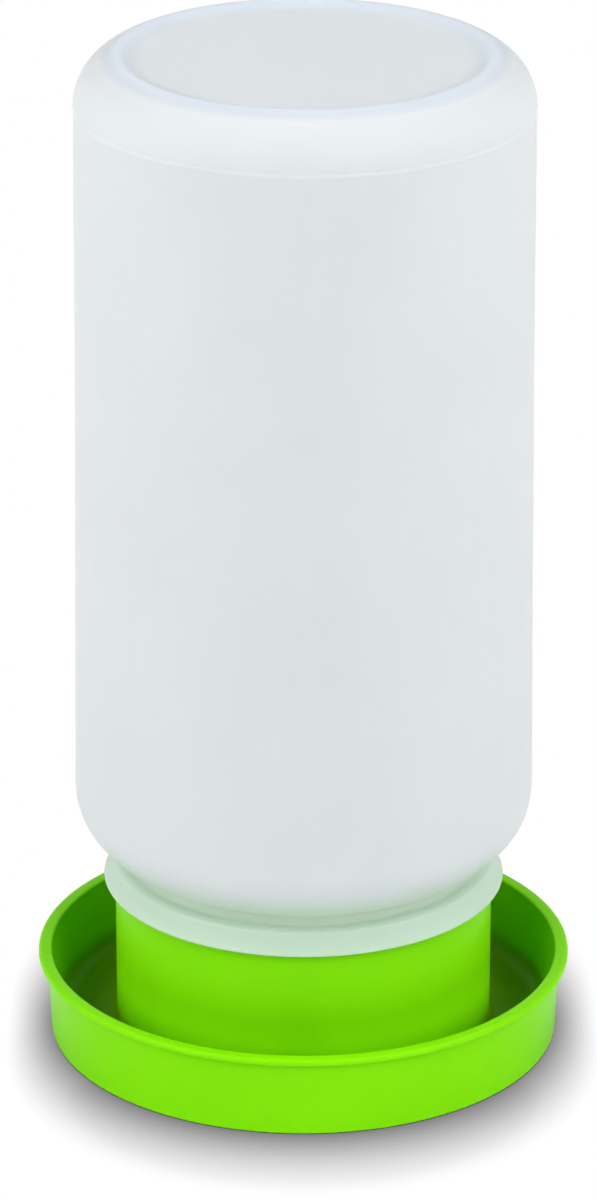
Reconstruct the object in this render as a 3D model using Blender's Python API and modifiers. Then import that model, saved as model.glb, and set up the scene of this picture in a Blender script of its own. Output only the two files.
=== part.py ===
"""Small poultry drinker: a one-litre jar standing upside down in a round drinking trough.

The jar's mouth dips into the cup inside the base's collar. Water runs from the cup through
two outlets at the collar's foot into the trough, until it has risen to the mouth's rim and
no more air can get into the jar. Metres, +Z up, origin at the middle of the underside.
"""

import math

import bmesh
import bpy

# Base: floor and trough
FOOT_HEIGHT = 0.0005
FOOT_WIDTH = 0.0045
FOOT_ROUND = 0.0009
FLOOR_THICKNESS = 0.0015
CHANNEL_WIDTH = 0.0112
TROUGH_DEPTH = 0.0154
TROUGH_WALL_AT_FLOOR = 0.0018
TROUGH_WALL_AT_LIP = 0.0013
TROUGH_WALL_LEAN = 0.0012
LIP_WIDTH = 0.0031
LIP_THICKNESS = 0.0013
LIP_ROUND = 0.0005
CORNER_FILLET = 0.0010

# Base: collar with its cup, and the water outlets at its foot
COLLAR_RADIUS = 0.0386
COLLAR_WALL = 0.0018
COLLAR_HEIGHT = 0.0310
COLLAR_ROUND = 0.0005
OUTLET_WIDTH = 0.0080
OUTLET_HEIGHT = 0.0064
OUTLET_SILL = 0.0003

# Closure: lugs on the jar's neck turn in under ledges inside the collar
CATCHES = 3
LEDGE_ARC = math.radians(50)
LEDGE_THICKNESS = 0.0022
LEDGE_DEPTH = 0.0042
LEDGE_CLEARANCE = 0.0005
STOP_WIDTH = 0.0020
LUG_ARC = math.radians(40)
LUG_THICKNESS = 0.0026
LUG_CLEARANCE = 0.0005
CATCH_GAP = 0.0004

# Jar: neck and flange
SEAT_GAP = 0.0003
NECK_GAP = 0.0024
NECK_WALL = 0.0015
MOUTH_LIFT = 0.0090
FLANGE_OVERHANG = 0.0019
FLANGE_FLARE = 0.0014
FLANGE_SKIRT = 0.0032
FLANGE_HEIGHT = 0.0061
FLANGE_ROUND = 0.0004
GROOVE_DEPTH = 0.0041
GROOVE_HEIGHT = 0.0016

# Jar: shoulder, body and heel
JAR_WALL = 0.0012
BODY_STANDOUT = 0.0055
LOWER_LENGTH = 0.0860
LOWER_TAPER = 0.0010
UPPER_LENGTH = 0.0570
UPPER_TAPER = 0.0003
SHOULDER_HEIGHT = 0.0145
SHOULDER_SWEEP = math.radians(60)
HEEL_RADIUS = 0.0105
HEEL_SWEEP = math.radians(72)
RECESS_DEPTH = 0.0011
RECESS_SLOPE = 0.0024

# Smoothness of the turned shapes
TURN_STEPS = 60
ARC_SAG = 0.00005
SHARP_EDGE = math.radians(35)
OVERLAP = 0.0006

# Places that both pieces share
FLOOR_TOP = FOOT_HEIGHT + FLOOR_THICKNESS
COLLAR_TOP = FLOOR_TOP + COLLAR_HEIGHT
CUP_RADIUS = COLLAR_RADIUS - COLLAR_WALL
NECK_RADIUS = CUP_RADIUS - NECK_GAP
SEAT_TOP = COLLAR_TOP + SEAT_GAP
LEDGE_TOP = COLLAR_TOP - LEDGE_DEPTH
LUG_TOP = LEDGE_TOP - LEDGE_THICKNESS - CATCH_GAP


def arc(centre, radii, start, end):
    """Points on an ellipse's arc in the (r, z) plane, both ends included."""
    widest_step = 2 * math.acos(1 - min(ARC_SAG / max(radii), 0.3))
    steps = max(2, math.ceil(abs(end - start) / widest_step))
    angles = [start + (end - start) * step / steps for step in range(steps + 1)]
    return [
        (centre[0] + radii[0] * math.cos(angle), centre[1] + radii[1] * math.sin(angle))
        for angle in angles
    ]


def round_arc(centre, radius, start_degrees, end_degrees):
    """The same on a circle, with the angles in degrees."""
    return arc(
        centre,
        (radius, radius),
        math.radians(start_degrees),
        math.radians(end_degrees),
    )


def turned(name, profile, collection):
    """Turns an (r, z) profile about Z with a Screw modifier, as a smooth closed solid."""
    outline = bpy.data.meshes.new(name + "_profile")
    outline.from_pydata(
        [(radius, 0, height) for radius, height in profile],
        [(point, point + 1) for point in range(len(profile) - 1)],
        [],
    )
    piece = bpy.data.objects.new(name, outline)
    collection.objects.link(piece)
    screw = piece.modifiers.new("turn", "SCREW")
    screw.angle = math.tau
    screw.steps = TURN_STEPS
    screw.render_steps = TURN_STEPS
    screw.use_merge_vertices = True
    screw.merge_threshold = 0.00001
    mesh = evaluated_mesh(piece)
    piece.modifiers.remove(screw)
    piece.data = mesh
    mesh.name = name
    mesh.shade_smooth()
    mesh.set_sharp_from_angle(angle=SHARP_EDGE)
    return piece


def evaluated_mesh(piece):
    """A new mesh of the object with its modifiers applied."""
    graph = bpy.context.evaluated_depsgraph_get()
    return bpy.data.meshes.new_from_object(piece.evaluated_get(graph))


def swept_block(shape, low, high, start, sweep):
    """Adds to bmesh `shape` a block from (r, z) `low` to `high`, turned through `sweep`."""
    corners = [
        (low[0], low[1]),
        (high[0], low[1]),
        (high[0], high[1]),
        (low[0], high[1]),
    ]
    ends = [
        shape.verts.new(
            (radius * math.cos(start), radius * math.sin(start), height)
        )
        for radius, height in corners
    ]
    face = shape.faces.new(ends)
    bmesh.ops.spin(
        shape,
        geom=[face, *face.edges, *face.verts],
        cent=(0, 0, 0),
        axis=(0, 0, 1),
        angle=sweep,
        steps=max(1, round(sweep / math.tau * TURN_STEPS)),
    )


def helper(name, shape, collection):
    """An object that a Boolean reads: hidden in renders, drawn as wire."""
    bmesh.ops.recalc_face_normals(shape, faces=shape.faces)
    mesh = bpy.data.meshes.new(name)
    shape.to_mesh(mesh)
    shape.free()
    piece = bpy.data.objects.new(name, mesh)
    piece.hide_render = True
    piece.display_type = "WIRE"
    collection.objects.link(piece)
    return piece


def combine(piece, other, operation):
    """Joins or cuts a piece with a helper."""
    boolean = piece.modifiers.new(other.name, "BOOLEAN")
    boolean.object = other
    boolean.operation = operation
    boolean.solver = "EXACT"


def plastic(name, colour, roughness):
    """A Principled material for a moulded piece."""
    material = bpy.data.materials.new(name)
    material.use_nodes = True
    shader = material.node_tree.nodes["Principled BSDF"]
    shader.inputs["Base Color"].default_value = (*colour, 1)
    shader.inputs["Roughness"].default_value = roughness
    shader.inputs["Metallic"].default_value = 0
    return material


def base_profile():
    """Half section of the base, from the cup's floor over collar and trough to the foot."""
    wall_foot = COLLAR_RADIUS + CHANNEL_WIDTH
    wall_top = wall_foot + TROUGH_WALL_LEAN
    lip_top = FLOOR_TOP + TROUGH_DEPTH
    lip_edge = wall_top + LIP_WIDTH
    foot_edge = wall_foot + TROUGH_WALL_AT_FLOOR
    fillet = CORNER_FILLET
    top_round = COLLAR_ROUND
    cup = [(0, FLOOR_TOP)]
    cup += round_arc((CUP_RADIUS - fillet, FLOOR_TOP + fillet), fillet, -90, 0)
    collar = round_arc((CUP_RADIUS + top_round, COLLAR_TOP - top_round), top_round, 180, 90)
    collar += round_arc(
        (COLLAR_RADIUS - top_round, COLLAR_TOP - top_round), top_round, 90, 0
    )
    channel = round_arc((COLLAR_RADIUS + fillet, FLOOR_TOP + fillet), fillet, 180, 270)
    channel += round_arc((wall_foot - fillet, FLOOR_TOP + fillet), fillet, -90, 0)
    lip = round_arc((wall_top + LIP_ROUND, lip_top - LIP_ROUND), LIP_ROUND, 180, 90)
    lip += round_arc((lip_edge - LIP_ROUND, lip_top - LIP_ROUND), LIP_ROUND, 90, 0)
    lip += round_arc(
        (lip_edge - LIP_ROUND, lip_top - LIP_THICKNESS + LIP_ROUND), LIP_ROUND, 0, -90
    )
    lip += [(wall_top + TROUGH_WALL_AT_LIP, lip_top - LIP_THICKNESS)]
    foot = round_arc((foot_edge - FOOT_ROUND, FOOT_ROUND), FOOT_ROUND, 0, -90)
    foot += [
        (foot_edge - FOOT_ROUND - FOOT_WIDTH, 0),
        (foot_edge - FOOT_ROUND - FOOT_WIDTH - FOOT_HEIGHT, FOOT_HEIGHT),
        (0, FOOT_HEIGHT),
    ]
    return cup + collar + channel + lip + foot


def catches(name, low, high, start, sweep, collection):
    """A ring of equal blocks round the axis, the first one starting at angle `start`."""
    shape = bmesh.new()
    for catch in range(CATCHES):
        swept_block(shape, low, high, start + catch * math.tau / CATCHES, sweep)
    return helper(name, shape, collection)


def ledges(collection):
    """Ledges inside the collar, midway between the places where the lugs drop in."""
    return catches(
        "ledges",
        (NECK_RADIUS + LEDGE_CLEARANCE, LEDGE_TOP - LEDGE_THICKNESS),
        (CUP_RADIUS + OVERLAP, LEDGE_TOP),
        (math.tau / CATCHES - LEDGE_ARC) / 2,
        LEDGE_ARC,
        collection,
    )


def stops(collection):
    """Upright ribs under the ledges' far ends, which end the jar's turn."""
    stop_arc = STOP_WIDTH / CUP_RADIUS
    return catches(
        "stops",
        (NECK_RADIUS + LEDGE_CLEARANCE, LUG_TOP - LUG_THICKNESS),
        (CUP_RADIUS + OVERLAP, LEDGE_TOP - LEDGE_THICKNESS / 2),
        (math.tau / CATCHES + LEDGE_ARC) / 2 - stop_arc,
        stop_arc,
        collection,
    )


def outlets(collection):
    """Cutter for two arched holes through the collar's foot, front and back."""
    shape = bmesh.new()
    half = OUTLET_WIDTH / 2
    reach = COLLAR_WALL / 2 + CORNER_FILLET + OVERLAP
    sill = FLOOR_TOP + OUTLET_SILL
    middle = COLLAR_RADIUS - COLLAR_WALL / 2
    outline = arc((0, sill + OUTLET_HEIGHT - half), (half, half), 0, math.pi)
    outline += [(-half, sill), (half, sill)]
    for side in (-1, 1):
        near = [shape.verts.new((x, side * (middle - reach), z)) for x, z in outline]
        face = shape.faces.new(near)
        bulge = bmesh.ops.extrude_face_region(shape, geom=[face])
        moved = [item for item in bulge["geom"] if isinstance(item, bmesh.types.BMVert)]
        bmesh.ops.translate(shape, vec=(0, side * 2 * reach, 0), verts=moved)
    return helper("outlets", shape, collection)


def jar_profile():
    """Half section of the jar in its own frame, with the flange's underside at height 0."""
    flange_edge = COLLAR_RADIUS + FLANGE_OVERHANG
    waist = flange_edge - FLANGE_FLARE
    groove = flange_edge - GROOVE_DEPTH
    groove_mid = FLANGE_HEIGHT + GROOVE_HEIGHT / 2
    body = flange_edge + BODY_STANDOUT
    body_mid = body - LOWER_TAPER
    body_high = body_mid - UPPER_TAPER
    # The shoulder is part of an ellipse whose sweep ends at the groove.
    reach = (body - groove) / (1 - math.cos(SHOULDER_SWEEP))
    shoulder_foot = FLANGE_HEIGHT + GROOVE_HEIGHT
    body_start = shoulder_foot + SHOULDER_HEIGHT * math.sin(SHOULDER_SWEEP)
    body_middle = body_start + LOWER_LENGTH
    heel = (body_high - HEEL_RADIUS, body_middle + UPPER_LENGTH)
    crest = (
        heel[0] + HEEL_RADIUS * math.cos(HEEL_SWEEP),
        heel[1] + HEEL_RADIUS * math.sin(HEEL_SWEEP),
    )
    recess = crest[1] - RECESS_DEPTH
    mouth = FLOOR_TOP + MOUTH_LIFT - SEAT_TOP
    bore = NECK_RADIUS - NECK_WALL
    lip = NECK_WALL / 2

    outside = [
        (0, recess),
        (crest[0] - RECESS_SLOPE, recess),
        (crest[0] - RECESS_SLOPE * 0.55, recess + RECESS_DEPTH * 0.45),
        (crest[0] - RECESS_SLOPE * 0.25, recess + RECESS_DEPTH * 0.9),
    ]
    outside += arc(heel, (HEEL_RADIUS, HEEL_RADIUS), HEEL_SWEEP, 0)
    outside += [(body_mid, body_middle)]
    outside += arc(
        (body - reach, body_start), (reach, SHOULDER_HEIGHT), 0, -SHOULDER_SWEEP
    )
    outside += [(groove - GROOVE_HEIGHT * 0.25, groove_mid)]
    outside += arc(
        (groove, FLANGE_SKIRT),
        (waist - groove, FLANGE_HEIGHT - FLANGE_SKIRT),
        math.pi / 2,
        0,
    )
    outside += round_arc((flange_edge - FLANGE_ROUND, FLANGE_ROUND), FLANGE_ROUND, 20, -90)
    outside += round_arc((NECK_RADIUS + FLANGE_ROUND, -FLANGE_ROUND), FLANGE_ROUND, 90, 180)
    outside += round_arc((NECK_RADIUS - lip, mouth + lip), lip, 0, -90)

    wall = JAR_WALL
    inside = round_arc((bore + lip, mouth + lip), lip, -90, -180)[1:]
    inside += round_arc((bore + wall, 0), wall, 180, 90)
    inside += [(waist - wall, wall), (waist - wall, FLANGE_SKIRT)]
    inside += arc(
        (groove - wall, FLANGE_SKIRT),
        (waist - groove, FLANGE_HEIGHT - FLANGE_SKIRT - wall / 2),
        0,
        math.pi / 2,
    )
    inside += [(groove - wall - GROOVE_HEIGHT * 0.25, groove_mid)]
    inside += arc(
        (body - reach, body_start),
        (reach - wall, SHOULDER_HEIGHT - wall),
        -SHOULDER_SWEEP,
        0,
    )
    inside += [(body_mid - wall, body_middle)]
    inside += arc(heel, (HEEL_RADIUS - wall, HEEL_RADIUS - wall), 0, HEEL_SWEEP)
    inside += [(crest[0] - RECESS_SLOPE - wall / 2, recess - wall), (0, recess - wall)]
    return outside + inside


def lugs(collection):
    """Lugs on the neck. They stand between the ledges, where the jar lifts free."""
    return catches(
        "lugs",
        (NECK_RADIUS - OVERLAP, LUG_TOP - LUG_THICKNESS - SEAT_TOP),
        (CUP_RADIUS - LUG_CLEARANCE, LUG_TOP - SEAT_TOP),
        -LUG_ARC / 2,
        LUG_ARC,
        collection,
    )


def main():
    for item in list(bpy.data.objects):
        bpy.data.objects.remove(item, do_unlink=True)
    pieces = bpy.data.collections.new("poultry_drinker")
    helpers = bpy.data.collections.new("cutters")
    bpy.context.scene.collection.children.link(pieces)
    bpy.context.scene.collection.children.link(helpers)

    base = turned("base", base_profile(), pieces)
    base.data.materials.append(plastic("green_polypropylene", (0.21, 0.82, 0.004), 0.32))
    combine(base, outlets(helpers), "DIFFERENCE")
    combine(base, ledges(helpers), "UNION")
    combine(base, stops(helpers), "UNION")

    lift = bpy.data.objects.new("jar_lift", None)
    lift.location = (0, 0, SEAT_TOP)
    lift.empty_display_size = COLLAR_RADIUS
    pieces.objects.link(lift)
    jar = turned("jar", jar_profile(), pieces)
    jar.data.materials.append(plastic("milky_polyethylene", (0.74, 0.79, 0.83), 0.38))
    neck_lugs = lugs(helpers)
    combine(jar, neck_lugs, "UNION")
    jar.parent = lift
    neck_lugs.parent = lift


main()
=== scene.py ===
"""Looks of a small poultry drinker: a milky jar standing upside down in a green trough.

Sizes are in metres. The order is the viewpoint, the light, the table, the base and the jar.
"""

import math

import bmesh
import bpy
from mathutils import Matrix, Vector, noise


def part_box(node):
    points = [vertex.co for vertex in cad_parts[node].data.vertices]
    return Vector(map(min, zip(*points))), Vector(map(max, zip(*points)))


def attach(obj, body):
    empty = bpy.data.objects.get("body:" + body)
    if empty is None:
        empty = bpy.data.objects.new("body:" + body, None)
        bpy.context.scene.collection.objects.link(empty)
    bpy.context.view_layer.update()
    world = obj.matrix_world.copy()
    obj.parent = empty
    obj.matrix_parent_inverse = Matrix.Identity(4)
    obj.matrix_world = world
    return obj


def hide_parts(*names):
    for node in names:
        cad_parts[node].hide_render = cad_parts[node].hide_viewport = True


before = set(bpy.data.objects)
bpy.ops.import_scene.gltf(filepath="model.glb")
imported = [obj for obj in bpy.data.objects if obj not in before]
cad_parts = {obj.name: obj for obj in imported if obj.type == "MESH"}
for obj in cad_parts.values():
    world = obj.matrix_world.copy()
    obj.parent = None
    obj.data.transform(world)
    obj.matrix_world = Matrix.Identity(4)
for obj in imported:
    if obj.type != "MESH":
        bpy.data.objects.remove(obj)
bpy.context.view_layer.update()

# Viewpoint. A long lens on a stand about a metre in front of the drinker and half a metre up,
# turned down on it. The focal length is a count of pixels in a picture 1200 pixels high.
camera_place = Vector((0, -1.0776, 0.5326))
camera_pitch = math.radians(22.195)
camera_yaw = math.radians(-0.059)
camera_roll = math.radians(0.095)
focal_pixels = 5829.3
picture_height = 1200
lens = bpy.data.cameras.new("viewpoint")
lens.sensor_width = 36
lens.lens = lens.sensor_width * focal_pixels / picture_height
camera = bpy.data.objects.new("viewpoint", lens)
bpy.context.collection.objects.link(camera)
camera.matrix_world = (
    Matrix.Translation(camera_place)
    @ Matrix.Rotation(-camera_yaw, 4, "Z")
    @ Matrix.Rotation(math.pi / 2 - camera_pitch, 4, "X")
    @ Matrix.Rotation(camera_roll, 4, "Z")
)
bpy.context.scene.camera = camera
bpy.context.scene.view_settings.view_transform = "Standard"

# Light. A dim room with three soft boxes on each side of the drinker, from low in front to high
# beside it, and a weak one overhead. The camera and reflections see the room pure white. A soft
# box has its angle round the drinker, its angle above the table and its power in watts.
room_fill = 0.02
box_size = 0.5
box_distance = 1.1
box_aim = Vector((0, 0, 0.1))
soft_boxes = (
    ("top_box", 0, 89, 1.2),
    ("front_box", -36, 26, 5.1),
    ("front_box", 36, 26, 5.1),
    ("middle_box", -70, 33, 3.5),
    ("middle_box", 70, 33, 3.5),
    ("side_box", -95, 47, 3.0),
    ("side_box", 95, 47, 3.0),
)


class Socket:
    """A socket of a node tree. Arithmetic on it adds Math nodes, and node() adds any other."""

    def __init__(self, tree, socket=None):
        self.tree = tree
        self.socket = socket

    def node(self, kind, inputs=None, output=None, **settings):
        """Adds a node, sets it up, feeds its inputs by identifier and returns one output."""
        made = self.tree.nodes.new(kind)
        for name, value in settings.items():
            setattr(made, name, value)
        sockets = {socket.identifier: socket for socket in made.inputs}
        for name, value in (inputs or {}).items():
            if isinstance(value, Socket):
                self.tree.links.new(value.socket, sockets[name])
            else:
                sockets[name].default_value = value
        outputs = {socket.identifier: socket for socket in made.outputs}
        return Socket(self.tree, outputs.get(output) or next(iter(outputs.values()), None))

    def maths(self, operation, first, second):
        return self.node(
            "ShaderNodeMath", {"Value": first, "Value_001": second}, operation=operation
        )

    def __add__(self, other):
        return self.maths("ADD", self, other)

    def __radd__(self, other):
        return self.maths("ADD", other, self)

    def __mul__(self, other):
        return self.maths("MULTIPLY", self, other)

    def __rmul__(self, other):
        return self.maths("MULTIPLY", other, self)

    def most(self, other):
        """The larger of the two."""
        return self.maths("MAXIMUM", self, other)

    def rise(self, none, full):
        """Goes smoothly from 0 where this value is `none` to 1 where it is `full`."""
        return self.node(
            "ShaderNodeMapRange",
            {"Value": self, "From Min": none, "From Max": full},
            interpolation_type="SMOOTHSTEP",
        )

    def blend(self, first, second):
        """A colour between two, by this value."""
        return self.node(
            "ShaderNodeMix",
            {"Factor_Float": self, "A_Color": first, "B_Color": second},
            output="Result_Color",
            data_type="RGBA",
        )


def in_view(start):
    """1 for rays from the camera and those that a glossy or clear surface sends on, else 0."""
    seen, mirrored, through = (
        start.node("ShaderNodeLightPath", output=f"Is {kind} Ray")
        for kind in ("Camera", "Glossy", "Transmission")
    )
    return seen.most(mirrored).most(through)


room = bpy.data.worlds.new("room")
bpy.context.scene.world = room
room.use_nodes = True
room.node_tree.nodes.clear()
walls = Socket(room.node_tree)
strength = room_fill + (1 - room_fill) * in_view(walls)
glow = walls.node("ShaderNodeBackground", {"Color": (1, 1, 1, 1), "Strength": strength})
walls.node("ShaderNodeOutputWorld", {"Surface": glow})
for name, round_angle, up_angle, power in soft_boxes:
    soft_box = bpy.data.lights.new(name, "AREA")
    soft_box.size = box_size
    soft_box.energy = power
    lamp = bpy.data.objects.new(name, soft_box)
    bpy.context.collection.objects.link(lamp)
    azimuth = math.radians(round_angle)
    height = math.radians(up_angle)
    outward = Vector(
        (
            math.sin(azimuth) * math.cos(height),
            -math.cos(azimuth) * math.cos(height),
            math.sin(height),
        )
    )
    lamp.location = box_aim + outward * box_distance
    lamp.rotation_euler = outward.to_track_quat("Z", "Y").to_euler()


# Table. A white matt sheet. The camera and reflections see it pure white but for the drinker's
# contact shadow, which is narrow at the sides and wide at the front and the back.
table_half = 3.0
table_white = (0.9, 0.9, 0.9, 1)
shadow_side = 0.0092
shadow_front = 0.026
shadow_depth = 1.9
shadow_samples = 32
sheet = bmesh.new()
bmesh.ops.create_grid(sheet, x_segments=4, y_segments=4, size=table_half)
table_mesh = bpy.data.meshes.new("table")
sheet.to_mesh(table_mesh)
sheet.free()
table = bpy.data.objects.new("table", table_mesh)
bpy.context.collection.objects.link(table)
paper = bpy.data.materials.new("white_paper")
paper.use_nodes = True
paper.node_tree.nodes.clear()
surface = Socket(paper.node_tree)
place = surface.node("ShaderNodeTexCoord", output="Object")
way = place.node("ShaderNodeVectorMath", {"Vector": place}, operation="NORMALIZE")
stretched = way.node(
    "ShaderNodeVectorMath",
    {"Vector": way, "Vector_001": (shadow_side, shadow_front, 0)},
    operation="MULTIPLY",
)
reach = way.node(
    "ShaderNodeVectorMath", {"Vector": stretched}, output="Value", operation="LENGTH"
)
openness = reach.node(
    "ShaderNodeAmbientOcclusion", {"Distance": reach}, output="AO", samples=shadow_samples
)
bright = openness.maths("POWER", openness, shadow_depth)
dark = surface.node("ShaderNodeEmission", {"Color": (0, 0, 0, 1)})
white = surface.node("ShaderNodeEmission", {"Color": (1, 1, 1, 1)})
drawn = bright.node("ShaderNodeMixShader", {"Fac": bright, "Shader": dark, "Shader_001": white})
matt = surface.node("ShaderNodeBsdfDiffuse", {"Color": table_white})
sheet_look = surface.node(
    "ShaderNodeMixShader", {"Fac": in_view(surface), "Shader": matt, "Shader_001": drawn}
)
surface.node("ShaderNodeOutputMaterial", {"Surface": sheet_look})
table_mesh.materials.append(paper)


# Base. One injection moulding in bright green polypropylene: a round trough with an out-turned
# lip, and in its middle the collar that the jar stands on. Its half section runs from the cup's
# floor over collar and trough to the underside, and is turned about the axis.
turn_steps = 180
base_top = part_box("base")[1]
floor_top = 0.0020
cup_radius = 0.0368
collar_radius = 0.0382
channel_width = 0.0116
wall_lean = 0.0016
wall_at_floor = 0.0018
wall_at_lip = 0.0009
lip_thickness = 0.0013
lip_top = 0.0174
foot_width = 0.0045
foot_height = 0.0005
gate_radius = 0.0030
gate_depth = 0.0003


def arc(centre, radii, start, end, steps):
    """Points round part of an ellipse in a half section, with the angles in degrees."""
    turns = [math.radians(start + (end - start) * step / steps) for step in range(steps + 1)]
    return [
        (centre[0] + radii[0] * math.cos(turn), centre[1] + radii[1] * math.sin(turn))
        for turn in turns
    ]


def rounded(corners, steps=6):
    """A half section through (radius, height) points, round where a third value says how much."""
    points = [Vector(corner[:2]) for corner in corners]
    outline = []
    for number, corner in enumerate(corners):
        here = points[number]
        if len(corner) == 2:
            outline.append(tuple(here))
            continue
        before = (points[number - 1] - here).normalized()
        after = (points[number + 1] - here).normalized()
        half = before.angle(after) / 2
        centre = here + (before + after).normalized() * corner[2] / math.sin(half)
        first = here + before * corner[2] / math.tan(half) - centre
        last = here + after * corner[2] / math.tan(half) - centre
        swing = first.angle_signed(last)
        for step in range(steps + 1):
            turned = first.copy()
            turned.rotate(Matrix.Rotation(-swing * step / steps, 2))
            outline.append(tuple(centre + turned))
    return outline


def lathe(outline):
    """Spins a half section about Z into a closed shape."""
    shape = bmesh.new()
    points = [shape.verts.new((radius, 0, height)) for radius, height in outline]
    edges = [shape.edges.new(pair) for pair in zip(points, points[1:])]
    bmesh.ops.spin(
        shape,
        geom=points + edges,
        cent=(0, 0, 0),
        axis=(0, 0, 1),
        angle=math.tau,
        steps=turn_steps,
        use_merge=True,
    )
    bmesh.ops.remove_doubles(shape, verts=shape.verts, dist=1e-6)
    bmesh.ops.recalc_face_normals(shape, faces=shape.faces)
    return shape


def block(shape, low, high, start, sweep, edge_round):
    """Adds a block from (radius, height) `low` to `high`, curved round Z, with soft edges."""
    corners = [(low[0], low[1]), (high[0], low[1]), (high[0], high[1]), (low[0], high[1])]
    ring = [
        shape.verts.new((radius * math.cos(start), radius * math.sin(start), height))
        for radius, height in corners
    ]
    face = shape.faces.new(ring)
    bmesh.ops.spin(
        shape,
        geom=[face, *face.edges, *face.verts],
        cent=(0, 0, 0),
        axis=(0, 0, 1),
        angle=sweep,
        steps=max(1, round(sweep / math.tau * turn_steps)),
    )
    bmesh.ops.recalc_face_normals(shape, faces=shape.faces)
    sharp = [edge for edge in shape.edges if edge.calc_face_angle(0) > math.radians(60)]
    bmesh.ops.bevel(
        shape,
        geom=sharp,
        offset=edge_round,
        segments=3,
        affect="EDGES",
        profile=0.5,
        material=-1,
    )


def placed(name, shape):
    """Puts a finished shape into the scene as an object."""
    mesh = bpy.data.meshes.new(name)
    shape.to_mesh(mesh)
    shape.free()
    piece = bpy.data.objects.new(name, mesh)
    bpy.context.collection.objects.link(piece)
    return piece


def merged(piece, helper, operation):
    """Joins a helper to a piece, or cuts it out, and then removes the helper."""
    boolean = piece.modifiers.new(operation.lower(), "BOOLEAN")
    boolean.operation = operation
    boolean.object = helper
    boolean.solver = "EXACT"
    graph = bpy.context.evaluated_depsgraph_get()
    mesh = bpy.data.meshes.new_from_object(piece.evaluated_get(graph))
    piece.modifiers.remove(boolean)
    piece.data = mesh
    mesh.name = piece.name
    bpy.data.objects.remove(helper)


def smooth(piece, crease=35):
    """Smooth shading, with edges over `crease` degrees kept sharp."""
    piece.data.shade_smooth()
    piece.data.set_sharp_from_angle(angle=math.radians(crease))


lip_edge = base_top.x
wall_foot = collar_radius + channel_width
wall_top = wall_foot + wall_lean
foot_edge = wall_foot + wall_at_floor
section = rounded(
    [
        (0, floor_top),
        (cup_radius, floor_top, 0.0010),
        (cup_radius, base_top.z, 0.0006),
        (collar_radius, base_top.z, 0.0006),
        (collar_radius, floor_top, 0.0012),
        (wall_foot, floor_top, 0.0030),
        (wall_top, lip_top, 0.0005),
        (lip_edge, lip_top, 0.0007),
        (lip_edge, lip_top - lip_thickness, 0.0004),
        (wall_top + wall_at_lip, lip_top - lip_thickness, 0.0003),
        (foot_edge, 0, 0.0006),
        (foot_edge - foot_width, 0, 0.0001),
        (foot_edge - foot_width - foot_height, foot_height, 0.0001),
        (gate_radius + gate_depth, foot_height, 0.0001),
        (gate_radius, foot_height + gate_depth, 0.0001),
        (0, foot_height + gate_depth),
    ]
)
base = placed("drinker_base", lathe(section))

# Water outlets: two arched holes through the collar's foot, front and back.
outlet_width = 0.0080
outlet_height = 0.0064
outlet_sill = floor_top + 0.0003
outlet_reach = 0.0025
cutter = bmesh.new()
for side in (-1, 1):
    near = (cup_radius + collar_radius) / 2 - outlet_reach
    half = outlet_width / 2
    hole = arc((0, outlet_sill + outlet_height - half), (half, half), 0, 180, 24)
    hole += [(-half, outlet_sill), (half, outlet_sill)]
    face = cutter.faces.new([cutter.verts.new((x, side * near, z)) for x, z in hole])
    pushed = bmesh.ops.extrude_face_region(cutter, geom=[face])["geom"]
    pushed = [item for item in pushed if isinstance(item, bmesh.types.BMVert)]
    bmesh.ops.translate(cutter, verts=pushed, vec=(0, side * 2 * outlet_reach, 0))
bmesh.ops.recalc_face_normals(cutter, faces=cutter.faces)
merged(base, placed("outlets", cutter), "DIFFERENCE")

# Ejector marks: four shallow round prints on the underside, where pins pushed the base out.
pins = 4
pin_ring = 0.0270
pin_radius = 0.0030
pin_depth = 0.00015
for number in range(pins):
    turn = (number + 0.5) * math.tau / pins
    pin = bmesh.new()
    bmesh.ops.create_cone(
        pin,
        cap_ends=True,
        segments=48,
        radius1=pin_radius + pin_depth,
        radius2=pin_radius,
        depth=2 * pin_depth,
        matrix=Matrix.Translation(
            (pin_ring * math.cos(turn), pin_ring * math.sin(turn), foot_height)
        ),
    )
    merged(base, placed("pin_mark", pin), "DIFFERENCE")

# Closure, base side: three ledges inside the collar, each with an upright rib at its far end.
# The lugs on the jar's neck turn in under the ledges as far as the ribs.
catches = 3
ledge_arc = math.radians(50)
ledge_depth = 0.0042
ledge_thickness = 0.0022
lug_gap = 0.0004
lug_thickness = 0.0026
neck_gap = 0.0024
ledge_gap = 0.0005
stop_width = 0.0020
bite = 0.0009
catch_round = 0.0003
ledge_top = base_top.z - ledge_depth
lug_top = ledge_top - ledge_thickness - lug_gap
neck_radius = cup_radius - neck_gap
stop_arc = stop_width / cup_radius
for number in range(catches):
    middle = (number + 0.5) * math.tau / catches
    ledge = bmesh.new()
    block(
        ledge,
        (neck_radius + ledge_gap, ledge_top - ledge_thickness),
        (cup_radius + bite, ledge_top),
        middle - ledge_arc / 2,
        ledge_arc,
        catch_round,
    )
    merged(base, placed("ledge", ledge), "UNION")
    stop = bmesh.new()
    block(
        stop,
        (neck_radius + ledge_gap, lug_top - lug_thickness),
        (cup_radius + bite, ledge_top - ledge_thickness / 2),
        middle + ledge_arc / 2 - stop_arc,
        stop_arc,
        catch_round,
    )
    merged(base, placed("stop", stop), "UNION")
smooth(base)

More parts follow.
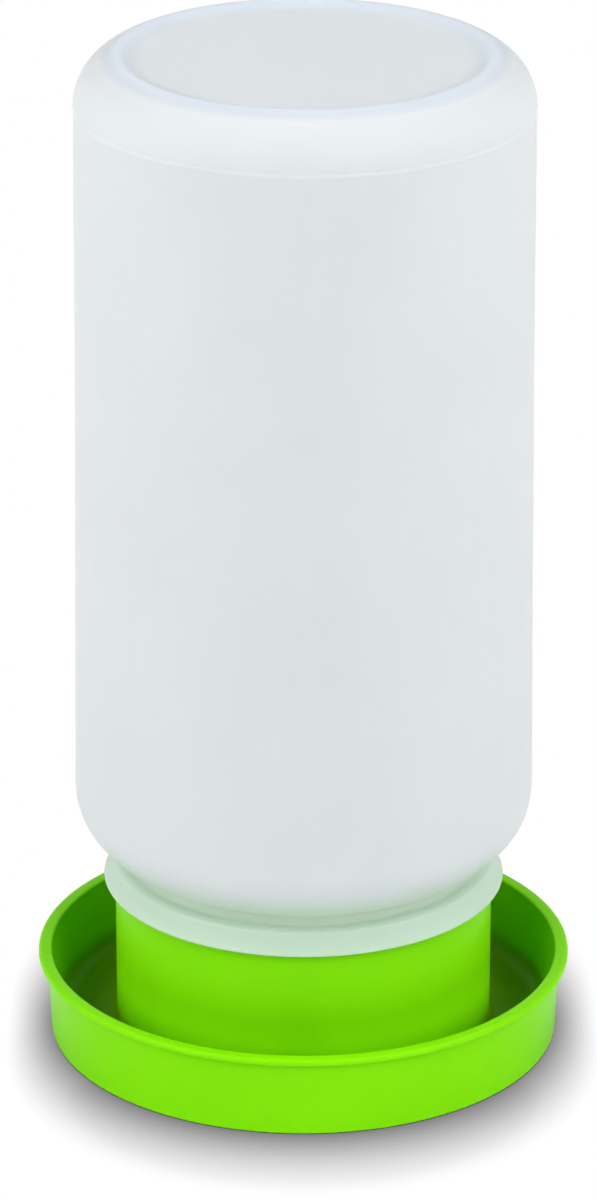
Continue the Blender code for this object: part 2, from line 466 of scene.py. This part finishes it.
# Finish of the base: glossy green, a little see-through where it is thin, with faint flow marks
# from the mould, a fine satin and small differences in gloss. Painted shade: on the floor of
# trough and cup, low on the walls beside it and on the underside, the green is painted darker
# and more olive. That shade fades in from the first radius or height of a pair to the second.
flow_green = (0.187, 0.635, 0.001, 1)
bright_green = (0.221, 0.70, 0.002, 1)
# Painted shade colour for the low inside of trough and cup, and the underside.
painted_shade_green = (0.15, 0.34, 0.001, 1)
shade_edge = (wall_foot + 0.0009, wall_foot + 0.0002)
shade_height = (floor_top + 0.0060, floor_top + 0.0005)
green = bpy.data.materials.new("green_polypropylene")
green.use_nodes = True
plastic = Socket(green.node_tree)
shader = green.node_tree.nodes["Principled BSDF"]
spot = plastic.node("ShaderNodeTexCoord", output="Object")
clouds = spot.node("ShaderNodeTexNoise", {"Vector": spot, "Scale": 38, "Detail": 3}, output="Fac")
grain = spot.node("ShaderNodeTexNoise", {"Vector": spot, "Scale": 1500, "Detail": 2}, output="Fac")
height = spot.node("ShaderNodeSeparateXYZ", {"Vector": spot}, output="Z")
flat = spot.node(
    "ShaderNodeVectorMath",
    {"Vector": spot, "Vector_001": (1, 1, 0)},
    operation="MULTIPLY",
    output="Vector",
)
radius = flat.node("ShaderNodeVectorMath", {"Vector": flat}, operation="LENGTH", output="Value")
# Painted shade: darker, more olive green low inside trough and cup and on the underside.
painted_shade = radius.rise(*shade_edge) * height.rise(*shade_height)
tint = painted_shade.blend(clouds.blend(flow_green, bright_green), painted_shade_green)
gloss = 0.25 + 0.10 * clouds + 0.04 * grain
relief = spot.node(
    "ShaderNodeBump", {"Strength": 0.25, "Distance": 0.00004, "Height": grain}
)
for name, value in (("Base Color", tint), ("Roughness", gloss), ("Normal", relief)):
    green.node_tree.links.new(value.socket, shader.inputs[name])
shader.inputs["Specular IOR Level"].default_value = 0.04
shader.inputs["Subsurface Weight"].default_value = 0.45
shader.inputs["Subsurface Radius"].default_value = (1.0, 0.5, 0.05)
shader.inputs["Subsurface Scale"].default_value = 0.0020
base.data.materials.append(green)
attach(base, "base")
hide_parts("base")


# Jar. One blow moulding in natural polyethylene, hollow, with a wall of about a millimetre. Seen
# upside down: the recessed bottom is on top, then heel, body, shoulder, groove, the flared
# flange that stands on the collar, and the neck in the cup. It lifts off for filling.
jar_low, jar_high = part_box("jar")
seat_gap = 0.0003
seat = base_top.z + seat_gap
jar_wall = 0.0012
neck_wall = 0.0015
recess_depth = 0.0011
recess_round = 0.0075
recess_slope = 25
crest_round = 0.0030
heel_round = 0.0105
heel_sweep = 72
heel_centre = (0.0342, jar_high.z - heel_round * math.sin(math.radians(heel_sweep)))
upper_length = 0.0570
lower_length = 0.0860
body_middle = (0.0450, heel_centre[1] - upper_length)
body_start = body_middle[1] - lower_length
body_widest = jar_high.x
shoulder_height = 0.0152
shoulder_sweep = 60
shoulder_radius = 0.0364
groove_radius = shoulder_radius - 0.0002
groove_height = seat + 0.0050
groove_length = 0.0020
rim_radius = 0.0383
rim_height = seat + 0.0042
waist = 0.0393
waist_height = seat + 0.0026
flange_edge = 0.0408
straight_steps = 12
ring_height = 0.00012
ring_half = 0.0005
ring_drop = 0.0001
seam_height = 0.00012
seam_half = 0.0003
wave_height = 0.00006
waves_per_metre = 55
outward_least = 0.3

disc = jar_high.z - recess_depth
shoulder_reach = (body_widest - shoulder_radius) / (1 - math.cos(math.radians(shoulder_sweep)))
shoulder_centre = (body_widest - shoulder_reach, body_start)


def straight(first, last):
    """The points between two points of a half section."""
    shares = [step / straight_steps for step in range(1, straight_steps)]
    return [tuple(Vector(first).lerp(Vector(last), share)) for share in shares]


def jar_side(wall):
    """The jar's section from its heel down to the groove, that far inside the outer surface."""
    heel = arc(heel_centre, (heel_round - wall, heel_round - wall), heel_sweep, 0, 24)
    ring = arc(
        (heel[-1][0], heel[-1][1] - ring_half - ring_drop),
        (ring_height, ring_half),
        90,
        -90,
        6,
    )
    middle = (body_middle[0] - wall, body_middle[1])
    shoulder = arc(
        shoulder_centre,
        (shoulder_reach - wall, shoulder_height - wall),
        0,
        -shoulder_sweep,
        20,
    )
    side = heel + (ring if wall == 0 else [])
    side += straight(side[-1], middle) + [middle] + straight(middle, shoulder[0])
    return side + shoulder


# The section runs from the middle of the recessed bottom down the outside to the mouth, with
# groove, rim, waist and edge of the flange on the way, and back up the inside.
crest_reach = heel_round - crest_round
crest_centre = (
    heel_centre[0] + crest_reach * math.cos(math.radians(heel_sweep)),
    heel_centre[1] + crest_reach * math.sin(math.radians(heel_sweep)),
)
crest = arc(crest_centre, (crest_round, crest_round), 90 + recess_slope, heel_sweep, 8)
slope = math.tan(math.radians(recess_slope))
recess_radius = crest[0][0] - (crest[0][1] - disc) / slope
outer = rounded([(0, disc), (recess_radius, disc, recess_round), crest[0]])[:-1]
outer += crest + jar_side(0)[1:]
outer += rounded(
    [
        outer[-1],
        (groove_radius, groove_height, 0.0007),
        (rim_radius, rim_height, 0.0005),
        (waist, waist_height, 0.0008),
        (flange_edge, seat, 0.0004),
        (neck_radius, seat, 0.0004),
        (neck_radius, jar_low.z, 0.0007),
        (neck_radius - neck_wall, jar_low.z, 0.0007),
        (neck_radius - neck_wall, seat + jar_wall, 0.0010),
        (waist - jar_wall, seat + jar_wall, 0.0008),
        (rim_radius - jar_wall, rim_height - jar_wall, 0.0008),
        (groove_radius - jar_wall, groove_height - jar_wall, 0.0008),
        (groove_radius - jar_wall, groove_height + groove_length, 0.0006),
        jar_side(jar_wall)[-1],
    ]
)[1:-1]
inner = jar_side(jar_wall)[::-1]
inner += [(recess_radius - jar_wall / 2, disc - jar_wall), (0, disc - jar_wall)]
shape = lathe(outer + inner)

# Parting line, left and right where the halves of the mould met, and the slight waves of a
# blown wall.
for side in (-1, 1):
    bmesh.ops.bisect_plane(
        shape,
        geom=[*shape.verts, *shape.edges, *shape.faces],
        dist=1e-7,
        plane_co=(0, side * seam_half, 0),
        plane_no=(0, 1, 0),
    )
shape.normal_update()
for point in shape.verts:
    outward = Vector((point.co.x, point.co.y, 0)).normalized()
    if point.co.z < waist_height or point.normal.dot(outward) < outward_least:
        continue
    move = wave_height * noise.noise(point.co * waves_per_metre) * outward
    if abs(point.co.y) < seam_half / 2:
        move += seam_height * outward
    point.co += move
jar = placed("drinker_jar", shape)

# Closure, jar side: three lugs on the neck, standing between the ledges.
lug_arc = math.radians(40)
lug_root = 0.0009
lug_clearance = 0.0005
for number in range(catches):
    lug = bmesh.new()
    block(
        lug,
        (neck_radius - lug_root, lug_top - lug_thickness),
        (cup_radius - lug_clearance, lug_top),
        number * math.tau / catches - lug_arc / 2,
        lug_arc,
        catch_round,
    )
    merged(jar, placed("lug", lug), "UNION")
smooth(jar)

# Finish of the jar: milky natural polyethylene with a soft sheen, which lets light through its
# wall, with faint clouds where the wall is thicker and upright lines from the blown tube. The
# top of the upturned jar, most of all the crest round the recessed bottom, is painted darker and
# bluer as shade. Flange, groove and the foot of the shoulder are painted pale green, darker on
# the flange: painted light and shade, for the green light from the collar under them and the
# shade under the shoulder. A tint changes from the first height of its pair to the second.
thin_milk = (0.722, 0.817, 0.945, 1)
thick_milk = (0.767, 0.857, 0.985, 1)
# Painted shade colour for the top of the jar.
top_shade_milk = (0.61, 0.71, 0.895, 1)
# Painted green light and shade colours for flange and groove.
flange_light_and_shade = (0.468, 0.590, 0.492, 1)
groove_green_light = (0.60, 0.82, 0.595, 1)
shoulder_foot = jar_side(0)[-1][1]
groove_fade = (groove_height - 0.0003, groove_height + 0.0003)
shoulder_fade = (shoulder_foot, shoulder_foot + 0.010)
neck_fade = (seat, seat - 0.002)
top_shade_fade = (disc - 0.0004, jar_high.z - 0.0002)
milky = bpy.data.materials.new("milky_polyethylene")
milky.use_nodes = True
plastic = Socket(milky.node_tree)
shader = milky.node_tree.nodes["Principled BSDF"]
spot = plastic.node("ShaderNodeTexCoord", output="Object")
stretched = spot.node("ShaderNodeMapping", {"Vector": spot, "Scale": (1, 1, 0.06)})
clouds = spot.node("ShaderNodeTexNoise", {"Vector": spot, "Scale": 30, "Detail": 3}, output="Fac")
lines = spot.node(
    "ShaderNodeTexNoise", {"Vector": stretched, "Scale": 260, "Detail": 2}, output="Fac"
)
grain = spot.node("ShaderNodeTexNoise", {"Vector": spot, "Scale": 1100, "Detail": 2}, output="Fac")
milk = (0.7 * clouds + 0.3 * lines).blend(thin_milk, thick_milk)
height = spot.node("ShaderNodeSeparateXYZ", {"Vector": spot}, output="Z")
# Painted light and shade: pale green on flange, groove and foot of the shoulder.
painted_green_light_and_shade = height.rise(*groove_fade).blend(flange_light_and_shade, groove_green_light)
beyond_green_light = height.rise(*shoulder_fade).most(height.rise(*neck_fade))
# Painted shade: the jar's top, most of all the crest round the recess, darker and bluer.
tint = height.rise(*top_shade_fade).blend(beyond_green_light.blend(painted_green_light_and_shade, milk), top_shade_milk)
gloss = 0.50 + 0.08 * clouds + 0.05 * grain
relief = spot.node(
    "ShaderNodeBump", {"Strength": 0.3, "Distance": 0.00005, "Height": grain + 0.6 * lines}
)
for name, value in (("Base Color", tint), ("Roughness", gloss), ("Normal", relief)):
    milky.node_tree.links.new(value.socket, shader.inputs[name])
shader.inputs["Specular IOR Level"].default_value = 0.15
shader.inputs["Subsurface Weight"].default_value = 1.0
shader.inputs["Subsurface Radius"].default_value = (1.0, 1.0, 1.0)
shader.inputs["Subsurface Scale"].default_value = 0.0060
jar.data.materials.append(milky)
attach(jar, "jar")
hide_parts("jar")

bpy.context.view_layer.update()
